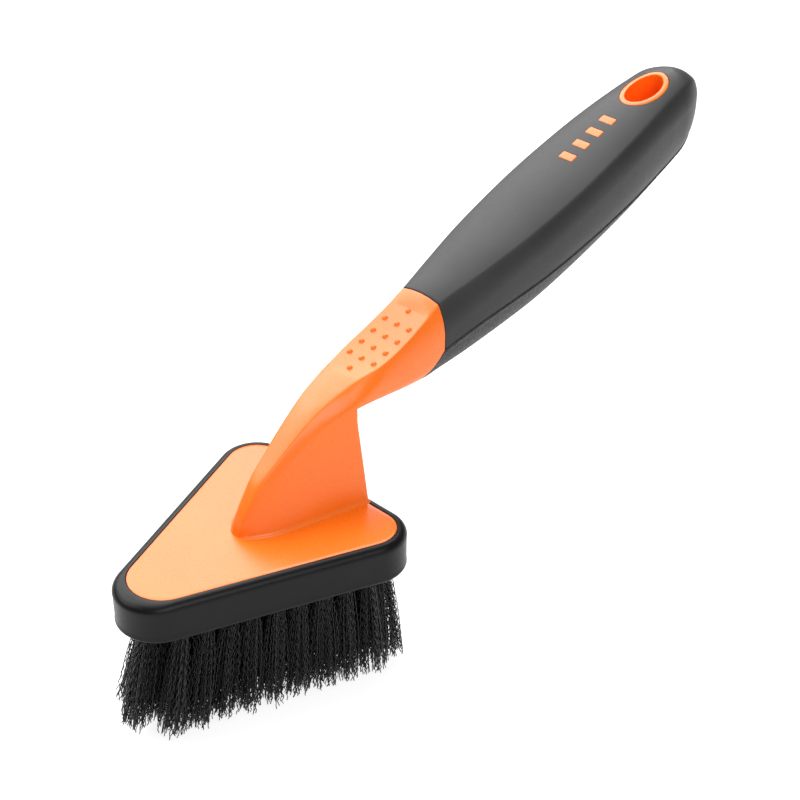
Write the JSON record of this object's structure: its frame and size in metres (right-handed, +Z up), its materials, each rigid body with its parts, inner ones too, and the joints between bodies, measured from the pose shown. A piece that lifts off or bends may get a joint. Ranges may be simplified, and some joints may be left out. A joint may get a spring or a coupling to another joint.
{
  "type": "wheel brush",
  "caption": "Hand brush with a triangular bristle head, a rubber bumper round it, a raised wedge neck and a soft grip with an oval hang hole.",
  "frame": {"origin": "middle of the working face, where the cut ends of the bristles lie", "axes": "+X from the head's apex to the handle's end, +Z up from the bristle tips through the head"},
  "size_m": [0.2724, 0.0786, 0.1469],
  "materials": {
    "orange_plastic": "satin",
    "bumper_rubber": "satin",
    "grip_rubber": "matte",
    "textured_rubber": "fine spark texture",
    "bristle": "crimped filament",
    "anchor_wire": "drawn"
  },
  "bodies": {
    "root": {"core": "orange_plastic", "head_bumper": "bumper_rubber", "grip_shell": "grip_rubber", "grip_pad": "textured_rubber", "tuft_row_01": "bristle", "tuft_row_02": "bristle", "tuft_row_03": "bristle", "tuft_row_04": "bristle", "tuft_row_05": "bristle", "tuft_row_06": "bristle", "tuft_row_07": "bristle", "tuft_row_08": "bristle", "tuft_row_09": "bristle", "tuft_row_10": "bristle", "tuft_row_11": "bristle", "anchor_row_01": "anchor_wire", "anchor_row_02": "anchor_wire", "anchor_row_03": "anchor_wire", "anchor_row_04": "anchor_wire", "anchor_row_05": "anchor_wire", "anchor_row_06": "anchor_wire", "anchor_row_07": "anchor_wire", "anchor_row_08": "anchor_wire", "anchor_row_09": "anchor_wire", "anchor_row_10": "anchor_wire", "anchor_row_11": "anchor_wire"}
  },
  "joints": []
}
